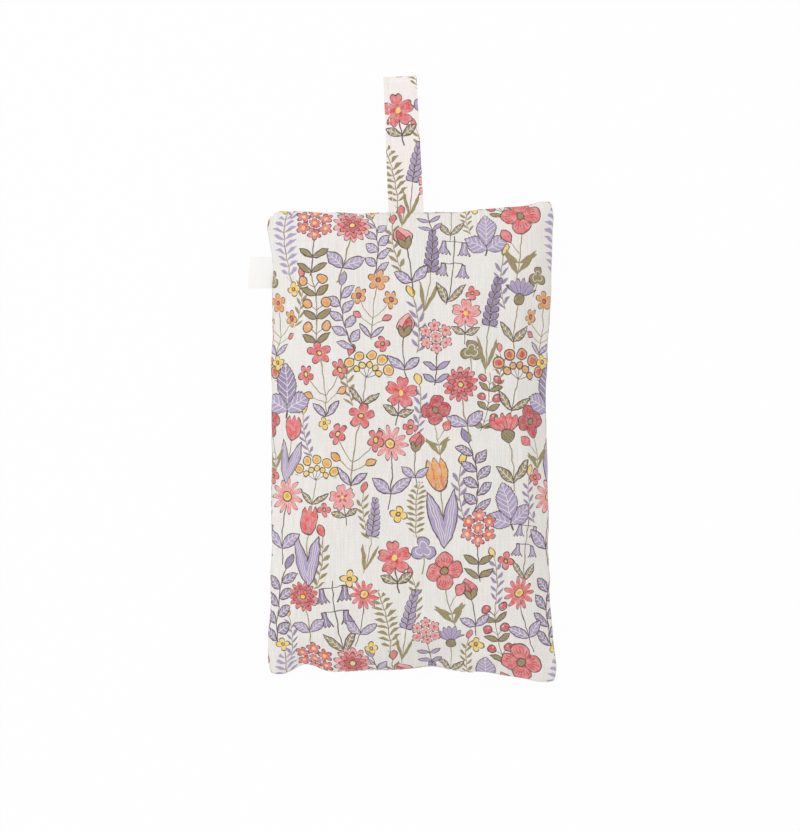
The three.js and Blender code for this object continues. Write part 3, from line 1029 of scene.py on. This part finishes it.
# %% Read the rim
def read_rim():
    """The rim's points in order: (position, flat place), anticlockwise from the bottom left corner."""
    flat = flat_places(bag.data)
    found = []
    for vertex in bag.data.vertices:
        place = flat[vertex.index]
        across, along = place.x / (FLAT_WIDTH / 2), place.y / (FLAT_LENGTH / 2)
        if max(abs(across), abs(along)) < ON_RIM:
            continue
        if along < -ON_RIM:
            step = across + 1
        elif across > ON_RIM:
            step = 2 + along + 1
        elif along > ON_RIM:
            step = 4 + 1 - across
        else:
            step = 6 + 1 - along
        found.append((step, vertex.co.copy(), place))
    found.sort(key=lambda entry: entry[0])
    return [(position, place) for step, position, place in found]


EDGE_WITHIN = 0.1
rim = read_rim()


def rim_near(edge, value):
    """The rim's point on one edge nearest to a place along it, in metres."""
    if edge == "top":
        near = [p for p, place in rim if place.y > FLAT_LENGTH / 2 - EDGE_WITHIN]
        return min(near, key=lambda p: abs(p.x - value))
    near = [p for p, place in rim if place.x < -FLAT_WIDTH / 2 + EDGE_WITHIN]
    return min(near, key=lambda p: abs(p.y - value))


LOOP_X = -1.2 * MM
LABEL_Y = 70 * MM
loop_root = rim_near("top", LOOP_X)
label_root = rim_near("left", LABEL_Y)
print("rim", len(rim), "points; loop root, mm", in_mm(loop_root), "label root, mm", in_mm(label_root))

# %% [markdown]
# ## Front and back panels
# The bag is parted along its rim into the two panels. Each panel's edge is turned in by the seam
# allowance, which rounds the lip of the seam when the mesh is smoothed, and leaves a fine groove
# between the panels. They stand apart a little more where the loop and the label come out between
# them. Then each panel gets the thickness of the cloth, inwards.

# %% Part the bag along its rim
SEAM_ALLOWANCE = 5
SEAM_GAP = 0.12
CLOTH = 0.3
LOOP_WIDTH = 14.5
LABEL_WIDTH = 13
OPEN_AT_LOOP = 0.55
OPEN_AT_LABEL = 0.2
SEAM_PUCKER = 0.3
CLOSED_PUCKER = 0.55
PUCKER_REACH = 7

filling_form = bag.copy()
filling_form.data = bag.data.copy()
filling_form.name = "lavender_buds"
scene.collection.objects.link(filling_form)

with editing(bag):
    bpy.ops.mesh.separate(type="MATERIAL")
front, back = sorted(
    [piece for piece in scene.objects if piece.type == "MESH" and piece.name.startswith("bag")],
    key=lambda piece: -sum(vertex.co.z for vertex in piece.data.vertices))
front.name = "printed_front"
back.name = "printed_back"


def smooth(share):
    share = min(1, max(0, share))
    return share * share * (3 - 2 * share)


def window(value, half_width, soft):
    """1 within half a width, falling to 0 over a soft edge."""
    return smooth((half_width + soft - abs(value)) / (2 * soft))


def opening(position):
    """Half the gap between the panels at a place of the rim."""
    at_loop = window(position.x / MM - LOOP_X / MM, LOOP_WIDTH / 2 + 0.8, 1.5) * (position.y > 60 * MM)
    at_label = window(position.y / MM - LABEL_Y / MM, LABEL_WIDTH / 2 + 0.6, 1.5) * (position.x < -40 * MM)
    return (SEAM_GAP + OPEN_AT_LOOP * at_loop + OPEN_AT_LABEL * at_label) * MM


def select_rim():
    """Selects the open edges of the mesh that is being edited."""
    bpy.ops.mesh.select_all(action="DESELECT")
    bpy.ops.mesh.select_non_manifold(extend=False, use_wire=False, use_multi_face=False,
                                     use_non_contiguous=False, use_verts=False)


def turn_in_edge(panel, side):
    """Opens the seam by half its gap and extrudes the rim inwards as the seam allowance."""
    mesh = panel.data
    with editing(panel, "EDGE"):
        select_rim()
    for vertex in mesh.vertices:
        if vertex.select:
            vertex.co.z += side * opening(vertex.co)
    shrink_x = 1 - SEAM_ALLOWANCE / (FLAT_WIDTH / 2)
    shrink_y = 1 - SEAM_ALLOWANCE / (FLAT_LENGTH / 2)
    with editing(panel, "EDGE"):
        bpy.ops.mesh.extrude_edges_move()
        bpy.ops.transform.resize(value=(shrink_x, shrink_y, 1), center_override=(0, 0, 0))
    flat = mesh.attributes["flat"].data
    for vertex in mesh.vertices:
        if vertex.select:
            place = flat[vertex.index].vector
            flat[vertex.index].vector = (place.x * (2 - shrink_x), place.y * (2 - shrink_y), 0)


def pucker_edges(panel, side):
    """Gathers the cloth in small folds across the seam, most along the edge that was closed by hand."""
    flat = flat_places(panel.data)
    for vertex in panel.data.vertices:
        place = flat[vertex.index]
        in_x, in_y = FLAT_WIDTH / 2 - abs(place.x), FLAT_LENGTH / 2 - abs(place.y)
        inside, along = (in_x, place.y) if in_x < in_y else (in_y, place.x)
        strength = CLOSED_PUCKER if in_y < in_x and place.y < 0 else SEAM_PUCKER
        fade = smooth(inside / 3) * math.exp(-max(0, inside) / PUCKER_REACH)
        fold = noise.noise(Vector((along * 0.17, inside * 0.04, side * 7 + (place.x > place.y))))
        vertex.co += vertex.normal * strength * fade * fold * MM


def apply_modifier(piece, kind, **settings):
    alone(piece)
    modifier = piece.modifiers.new(kind.title(), kind)
    set_all(modifier, **settings)
    bpy.ops.object.modifier_apply(modifier=modifier.name)


def shade_smooth(piece):
    alone(piece)
    bpy.ops.object.shade_smooth()


def lay_out(piece, on_print, on_bake):
    """Writes two maps from each corner's flat place: one that the print reads, and one for baking."""
    mesh = piece.data
    flat = flat_places(mesh)
    while mesh.uv_layers:
        mesh.uv_layers.remove(mesh.uv_layers[0])
    mesh.uv_layers.new(name="cloth")
    mesh.uv_layers.new(name="OFBake")
    cloth, bake = mesh.uv_layers["cloth"].data, mesh.uv_layers["OFBake"].data
    for face in mesh.polygons:
        for corner in face.loop_indices:
            place = flat[mesh.loops[corner].vertex_index]
            cloth[corner].uv = [value * MM for value in on_print(place)]
            bake[corner].uv = on_bake(place, face.material_index)


def panel_bake(place, slot):
    """The right side of the cloth takes up most of the map, and the wrong side a strip above it."""
    u = place.x / (FLAT_WIDTH + 2 * SEAM_ALLOWANCE + 1) + 0.5
    v = place.y / (FLAT_LENGTH + 2 * SEAM_ALLOWANCE + 1) + 0.5
    return (u, 0.002 + v * 0.94) if slot == 0 else (u, 0.95 + v * 0.048)


for panel, side in ((front, 1), (back, -1)):
    turn_in_edge(panel, side)
    panel.data.materials.clear()
    panel.data.materials.append(bag_cotton)
    panel.data.materials.append(wrong_side)
    for face in panel.data.polygons:
        face.material_index = 0
    apply_modifier(panel, "SUBSURF", levels=1, render_levels=1, boundary_smooth="PRESERVE_CORNERS")
    pucker_edges(panel, side)
    apply_modifier(panel, "SOLIDIFY", thickness=CLOTH * MM, offset=-1, material_offset=1,
                   material_offset_rim=1)
    shade_smooth(panel)
    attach(panel, "sachet")
    print(panel.name, len(panel.data.polygons), "faces")

BACK_PRINT_AT = (56, 60)
lay_out(front, lambda place: (place.x, place.y), panel_bake)
lay_out(back, lambda place: (BACK_PRINT_AT[0] - place.x, place.y + BACK_PRINT_AT[1]), panel_bake)
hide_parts("front_panel")
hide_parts("back_panel")

# %% [markdown]
# ## Lavender
# Loose dried buds fill the bag up to the turned-in seam. They are one body here, so its surface is
# the filled bag's own shape, short of the seam allowance and drawn in by a hair, with small lumps
# like the buds that press against the cloth. It only shows if the cloth is taken off.

# %% Fill of dried buds
RINGS_OFF = 2.2 * FLAT_WIDTH / CELLS_ACROSS
DRAWN_IN = 1.0
LUMP = 0.35
buds = filling_form
with editing(buds, "FACE"):
    bpy.ops.mesh.select_all(action="DESELECT")
flat = flat_places(buds.data)
for face in buds.data.polygons:
    places = [flat[index] for index in face.vertices]
    across = max(abs(place.x) for place in places)
    along = max(abs(place.y) for place in places)
    face.select = across > FLAT_WIDTH / 2 - RINGS_OFF or along > FLAT_LENGTH / 2 - RINGS_OFF
with editing(buds, "FACE"):
    bpy.ops.mesh.delete(type="FACE")
    bpy.ops.mesh.select_all(action="SELECT")
    bpy.ops.transform.shrink_fatten(value=-DRAWN_IN * MM)
    bpy.ops.mesh.select_mode(type="EDGE")
    select_rim()
    bpy.ops.mesh.bridge_edge_loops(number_cuts=3)
apply_modifier(buds, "SUBSURF", levels=1, render_levels=1)
for vertex in buds.data.vertices:
    lump = noise.noise(vertex.co * 520) + 0.6 * noise.noise(vertex.co * 1100)
    vertex.co -= vertex.normal * LUMP * MM * (1 + lump)

dried_lavender, start, shader = new_finish("dried_lavender", {"Roughness": 0.95})
spot = start.node("ShaderNodeTexCoord", output="Object")
bud = start.node("ShaderNodeTexVoronoi", {"feature": "F1"}, {"Vector": spot, "Scale": 420.0}, "Distance")
tints = [(0.3, ink(84, 74, 92)), (0.5, ink(122, 108, 140)), (0.62, ink(140, 128, 120)),
         (0.8, ink(150, 138, 104))]
grain = start.node("ShaderNodeValToRGB", {"stops": tints}, {0: spot.cloud(300.0, plane=False)})
# Away from each bud's middle the colour darkens to a near black: painted shade in the hollows between the
# buds.
bud.scaled(0.9, 0, clamp=True).mix(grain, ink(62, 54, 60)).to(shader.inputs["Base Color"])
(1 - bud).dent(shader, 0.6, 0.6 * MM)
buds.data.materials.clear()
buds.data.materials.append(dried_lavender)
for face in buds.data.polygons:
    face.material_index = 0
shade_smooth(buds)
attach(buds, "sachet")
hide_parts("lavender_filling")
print("lavender", len(buds.data.polygons), "faces, mm", in_mm(buds.dimensions))

# %% [markdown]
# ## Stitches
# A row of lockstitch joins the turned-in edges, with one thread above the cloth and one below, and
# hand stitches close the gap in the bottom edge. One stitch is a small rounded bead, made once. An
# Array along a path repeats it, and a Curve modifier bends the row to the path.

# %% Thread
STITCH = 2.4
THREAD = 0.36
STITCH_SHARE = 0.84

ivory_thread, start, shader = new_finish("ivory_thread", {"Roughness": 0.7})
spot = start.node("ShaderNodeTexCoord", output="Object")
twist_and_highlight = start.node("ShaderNodeTexWave", {"bands_direction": "DIAGONAL"}, {
    "Vector": spot, "Scale": 900.0, "Distortion": 1.0, "Detail": 1.0}, "Fac")
# The thread is lighter on the crest of each twist, where the bump rises: a painted highlight.
twist_and_highlight.mix(ink(238, 230, 222), ink(247, 242, 236)).to(shader.inputs["Base Color"])
twist_and_highlight.dent(shader, 0.4, 0.05 * MM)


def make_stitches(name, points, length=STITCH):
    """A row of stitches along points in metres, each stitch of a length in mm."""
    track_data = bpy.data.curves.new(name + "_track", "CURVE")
    track_data.dimensions = "3D"
    spline = track_data.splines.new("POLY")
    spline.points.add(len(points) - 1)
    for knot, place in zip(spline.points, points):
        knot.co = (*place, 1)
    track = bpy.data.objects.new(name + "_track", track_data)
    scene.collection.objects.link(track)
    run = sum((b - a).length for a, b in zip(points, points[1:]))
    bpy.ops.object.select_all(action="DESELECT")
    bpy.ops.mesh.primitive_uv_sphere_add(segments=8, ring_count=6, radius=0.5)
    row = bpy.context.object
    row.name = name
    bpy.ops.transform.rotate(value=math.pi / 2, orient_axis="Y", center_override=(0, 0, 0))
    bead = (length * STITCH_SHARE * MM, THREAD * MM, THREAD * MM)
    bpy.ops.transform.resize(value=bead, center_override=(0, 0, 0))
    bpy.ops.object.transform_apply(location=True, rotation=True, scale=True)
    row.location.x = length / 2 * MM
    bpy.ops.object.transform_apply(location=True)
    apply_modifier(row, "ARRAY", fit_type="FIXED_COUNT", count=max(1, int(run / (length * MM))),
                   use_relative_offset=False, use_constant_offset=True,
                   constant_offset_displace=(length * MM, 0, 0))
    apply_modifier(row, "CURVE", object=track, deform_axis="POS_X")
    bpy.data.objects.remove(track)
    row.data.materials.append(ivory_thread)
    shade_smooth(row)
    print(name, "of", round(run / MM), "mm has", len(row.data.polygons), "faces")
    return row


# %% Seam stitches
SEAM_LINE = 4
TURNING_GAP = 60
CLOSING_INSET = 0.9
CLOSING_STITCH = 3.2


def inside_rim(position, inset, lift):
    x = position.x * (1 - inset / (FLAT_WIDTH / 2))
    y = position.y * (1 - inset / (FLAT_LENGTH / 2))
    return Vector((x, y, position.z + lift * MM))


def in_gap(place):
    return place.y < -FLAT_LENGTH / 2 + EDGE_WITHIN and abs(place.x) < TURNING_GAP / 2


first = max(k for k, (position, place) in enumerate(rim) if in_gap(place)) + 1
round_seam = [entry for entry in rim[first:] + rim[:first] if not in_gap(entry[1])]
for name, side, node in (("needle_stitches", 1, "seam_needle_thread"),
                         ("bobbin_stitches", -1, "seam_bobbin_thread")):
    level = side * (SEAM_GAP + CLOTH + THREAD / 2)
    row = make_stitches(name, [
        inside_rim(p, SEAM_LINE, level + side * opening(p) / MM) for p, place in round_seam])
    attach(row, "sachet")
    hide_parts(node)

gap_line = [inside_rim(p, CLOSING_INSET, 0) for p, place in rim if in_gap(place)]
closing = make_stitches("closing_stitches", gap_line, CLOSING_STITCH)
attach(closing, "sachet")
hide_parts("closing_thread")

# %% [markdown]
# ## Hanging loop
# A strip with its edges turned in and stitched is folded in half, and both ends are caught in the top
# seam. It leans a little to the left. A flat grid is the strip, and each row of it is set on the
# loop's side view: out of the seam, down to the table, round the fold and back over the top. Its
# thread pulls a fine groove into the cloth.

# %% Loop strip
LOOP_LENGTH = 56.0
LOOP_TAPE = 0.6
LOOP_LEAN = 2.6
LOOP_TAPER = 0.05
LOOP_CATCH = 5.5
LOOP_STITCH = 2.2
LOOP_STITCH_INSET = 1.9
FOLD_RADIUS = 3.8
LOOP_ROWS = 300
LOOP_COLUMNS = 36
LOOP_PUCKER = 0.1
LOOP_FOLD_AT = LOOP_LENGTH - FOLD_RADIUS - LOOP_TAPE / 2
STRAIGHT_OUT = 1.5
DROPS_WITHIN = 30
LEGS_APART = 0.02
GROOVE_DEPTH = 0.26
GROOVE_WIDTH = 0.55


def side_view(legs, catch, fold_at, radius, middle, leg_steps, fold_steps):
    """A folded strip's middle line as (out from the seam, height), in mm."""
    under, over = [], []
    for k in range(leg_steps + 1):
        out = -catch + (fold_at + catch) * k / leg_steps
        low, high = legs(out)
        under.append((out, low))
        over.append((out, high))
    angles = [math.radians(-90 + 180 * k / fold_steps) for k in range(1, fold_steps)]
    fold = [(fold_at + radius * math.cos(angle), middle + radius * math.sin(angle)) for angle in angles]
    return under + fold + over[::-1]


def loop_legs(out):
    """The heights of both legs: the lower one drops to the table, the upper one rises to the fold."""
    root_z = loop_root.z / MM
    half = LOOP_TAPE / 2
    drop = smooth((out - STRAIGHT_OUT) / DROPS_WITHIN)
    rise = smooth((out - STRAIGHT_OUT) / (LOOP_FOLD_AT - STRAIGHT_OUT))
    under = (root_z - half - LEGS_APART) * (1 - drop) + half * drop
    over = (root_z + half + LEGS_APART) * (1 - rise) + (half + 2 * FOLD_RADIUS) * rise
    return under, over


def even_points(points, count):
    """The same line with evenly spaced points."""
    lengths = [0.0]
    for (ay, az), (by, bz) in zip(points, points[1:]):
        lengths.append(lengths[-1] + math.hypot(by - ay, bz - az))
    spaced = []
    k = 0
    for step in range(count + 1):
        goal = lengths[-1] * step / count
        while k + 2 < len(lengths) and lengths[k + 1] < goal:
            k += 1
        share = (goal - lengths[k]) / (lengths[k + 1] - lengths[k])
        spaced.append(tuple(a + (b - a) * share for a, b in zip(points[k], points[k + 1])))
    return spaced


def inwards(line, row):
    """The direction from a strip's outer face to its inner one at a row, as (out, height)."""
    (ay, az), (by, bz) = line[max(0, row - 1)], line[min(len(line) - 1, row + 1)]
    step = math.hypot(by - ay, bz - az)
    return (az - bz) / step, (by - ay) / step


def make_strip(name, line, width, columns, place, pucker=0.0, groove=None):
    """A strip whose rows follow a side view, and its length. `place` sets each point, in mm, in space."""
    rows = len(line) - 1
    bpy.ops.object.select_all(action="DESELECT")
    bpy.ops.mesh.primitive_grid_add(x_subdivisions=columns, y_subdivisions=rows, size=2)
    strip = bpy.context.object
    strip.name = name
    flat = strip.data.attributes.new("flat", "FLOAT_VECTOR", "POINT")
    run = sum(math.hypot(b[0] - a[0], b[1] - a[1]) for a, b in zip(line, line[1:]))
    for vertex in strip.data.vertices:
        across = vertex.co.x * width / 2
        row = round((vertex.co.y + 1) / 2 * rows)
        out, height = line[row]
        along = run * row / rows
        flat.data[vertex.index].vector = (across, along, 0)
        edge = abs(vertex.co.x) ** 6
        ripple = noise.noise(Vector((across * 0.25, along * 0.32, 3)))
        wave = pucker * (ripple + edge * math.sin(along * 2.6))
        side = pucker * 0.8 * edge * noise.noise(Vector((vertex.co.x * 4, along * 0.2, 9)))
        if groove:
            sunk = groove(across, along)
            toward = inwards(line, row)
            out += sunk * toward[0]
            height += sunk * toward[1]
        vertex.co = place(across + side, out, height + wave)
    return strip, run


lean = Matrix.Rotation(math.radians(LOOP_LEAN), 3, "Z")


def loop_place(across, out, height):
    narrow = 1 - LOOP_TAPER * smooth(out / LOOP_LENGTH)
    spot = lean @ Vector((across * narrow, out, 0))
    z = max(height, LOOP_TAPE / 2) * MM
    return Vector((LOOP_X + spot.x * MM, loop_root.y + spot.y * MM, z))


def stitch_groove(across, along):
    """How far the row of stitches pulls the strip in, most where the thread dives, in mm."""
    aside = (across + LOOP_WIDTH / 2 - LOOP_STITCH_INSET) / GROOVE_WIDTH
    dive = 0.65 + 0.35 * math.cos(2 * math.pi * along / LOOP_STITCH)
    return GROOVE_DEPTH * dive * math.exp(-aside * aside)


loop_shape = side_view(loop_legs, LOOP_CATCH, LOOP_FOLD_AT, FOLD_RADIUS, LOOP_TAPE / 2 + FOLD_RADIUS,
                       leg_steps=60, fold_steps=16)
loop_line = even_points(loop_shape, LOOP_ROWS)
loop, loop_run = make_strip(
    "loop_strip", loop_line, LOOP_WIDTH, LOOP_COLUMNS, loop_place, LOOP_PUCKER, stitch_groove)


def finish_strip(strip, thickness, finish, run, width, print_at):
    """Gives a strip its thickness and its maps. Outer face, inner face and edges have their own slots."""
    for slot in range(3):
        strip.data.materials.append(finish)
    apply_modifier(strip, "SOLIDIFY", thickness=thickness * MM, offset=0, material_offset=1,
                   material_offset_rim=2)
    alone(strip)
    bpy.ops.object.shade_smooth_by_angle(angle=math.radians(50))

    def strip_bake(place, slot):
        column, room = ((0.0, 0.46), (0.5, 0.46), (0.98, 0.015))[slot]
        return column + room * (place.x / width + 0.5), 0.002 + 0.996 * place.y / run

    lay_out(strip, lambda place: (place.x + print_at[0], print_at[1] - place.y), strip_bake)


# %% Finish the loop
LOOP_PRINT_AT = (-4.5, 32.7)
finish_strip(loop, LOOP_TAPE, loop_cotton_painted_light, loop_run, LOOP_WIDTH, LOOP_PRINT_AT)
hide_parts("hanging_loop", "loop_sewn_end")
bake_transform(loop)
print("loop strip", round(loop_run, 1), "mm long,", len(loop.data.polygons), "faces")

# %% [markdown]
# ## Loop stitching
# The strip was stitched along its open edge before it was folded, so the row runs over both legs. The
# stitches lie on the strip's outer face, a little in from its left edge.

# %% Loop stitches
CAUGHT_ROWS = 12
THREAD_SUNK = 0.1


def loop_stitch_points():
    """The outer face's points along the groove, a hair above its floor."""
    points = []
    for row in range(CAUGHT_ROWS, len(loop_line) - CAUGHT_ROWS):
        toward = inwards(loop_line, row)
        rise = LOOP_TAPE / 2 - THREAD_SUNK
        out = loop_line[row][0] - toward[0] * rise
        height = loop_line[row][1] - toward[1] * rise
        place = loop_place(LOOP_STITCH_INSET - LOOP_WIDTH / 2, out, height)
        points.append(Vector((place.x, place.y, max(height, THREAD / 2) * MM)))
    return points


stitched = [place for place in loop_stitch_points() if place.y > loop_root.y + 1 * MM]
loop_row = make_stitches("loop_stitches", stitched, length=LOOP_STITCH)
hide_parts("loop_edge_thread")
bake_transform(loop_row)

# %% [markdown]
# ## Side label
# A short piece of white tape is folded in half and caught in the left side seam, with its fold
# outwards. It is blank. Its satin weave shows as fine ribs, and its two leaves part a little at the
# fold. It is made as the loop is, from a flat grid on a side view of its own.

# %% Label tape
LABEL_LENGTH = 8.9
LABEL_TAPE = 0.28
LABEL_CATCH = 5.5
LABEL_FOLD = 0.32
LABEL_SKEW = 0.0095
LABEL_FOLD_AT = LABEL_LENGTH - LABEL_FOLD
LABEL_DROOP = 0.9
LEAVES_APART = 0.04
LABEL_ROWS = 60
LABEL_COLUMNS = 12
LABEL_PUCKER = 0.03
RIB = 0.32
PICK = 0.5

white_tape, start, shader = new_finish("white_tape", {"Roughness": 0.55, "Sheen Weight": 0.1})
spot = start.node("ShaderNodeTexCoord", output="Object")
x, y = spot.vector("SCALE", Scale=1 / MM).parts()
ribs = (y * (2 * math.pi / RIB)).math("SINE")
picks = (x * (2 * math.pi / PICK) + y * 4).math("SINE")
spot.cloud(500.0, plane=False).mix(ink(250, 249, 246), ink(243, 242, 240)).to(shader.inputs["Base Color"])
ribs.scaled(0.5, picks * 0.3).dent(shader, 0.3, 0.05 * MM)


def label_leaves(out):
    """The heights of both leaves, which droop and part towards the fold."""
    half = (LABEL_TAPE + LEAVES_APART) / 2
    part = (LABEL_FOLD - half) * smooth(out / LABEL_FOLD_AT)
    droop = -LABEL_DROOP * (max(0, out) / LABEL_FOLD_AT) ** 2
    return droop - half - part, droop + half + part


def label_place(across, out, height):
    skewed = out * (1 - LABEL_SKEW * across)
    return Vector((label_root.x - skewed * MM, LABEL_Y + across * MM, label_root.z + height * MM))


label_shape = side_view(label_leaves, LABEL_CATCH, LABEL_FOLD_AT, LABEL_FOLD, -LABEL_DROOP,
                        leg_steps=30, fold_steps=8)
label_line = even_points(label_shape, LABEL_ROWS)
label, label_run = make_strip(
    "label_tape_strip", label_line, LABEL_WIDTH, LABEL_COLUMNS, label_place, LABEL_PUCKER)
turn_over(label)
finish_strip(label, LABEL_TAPE, white_tape, label_run, LABEL_WIDTH, (0, 0))
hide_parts("side_label", "label_sewn_end")
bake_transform(label)
print("label tape", round(label_run, 1), "mm long")

# %% [markdown]
# ## What the cloth was cut to
# The loop and the label are sheets, so their flat sizes are printed here.

for name, width, run in (("loop", LOOP_WIDTH, loop_run), ("label", LABEL_WIDTH, label_run)):
    print(name, "cut", width, "by", round(run, 1), "mm")

# %% Sizes
low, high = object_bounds()
print("visual box, mm", in_mm(high - low))
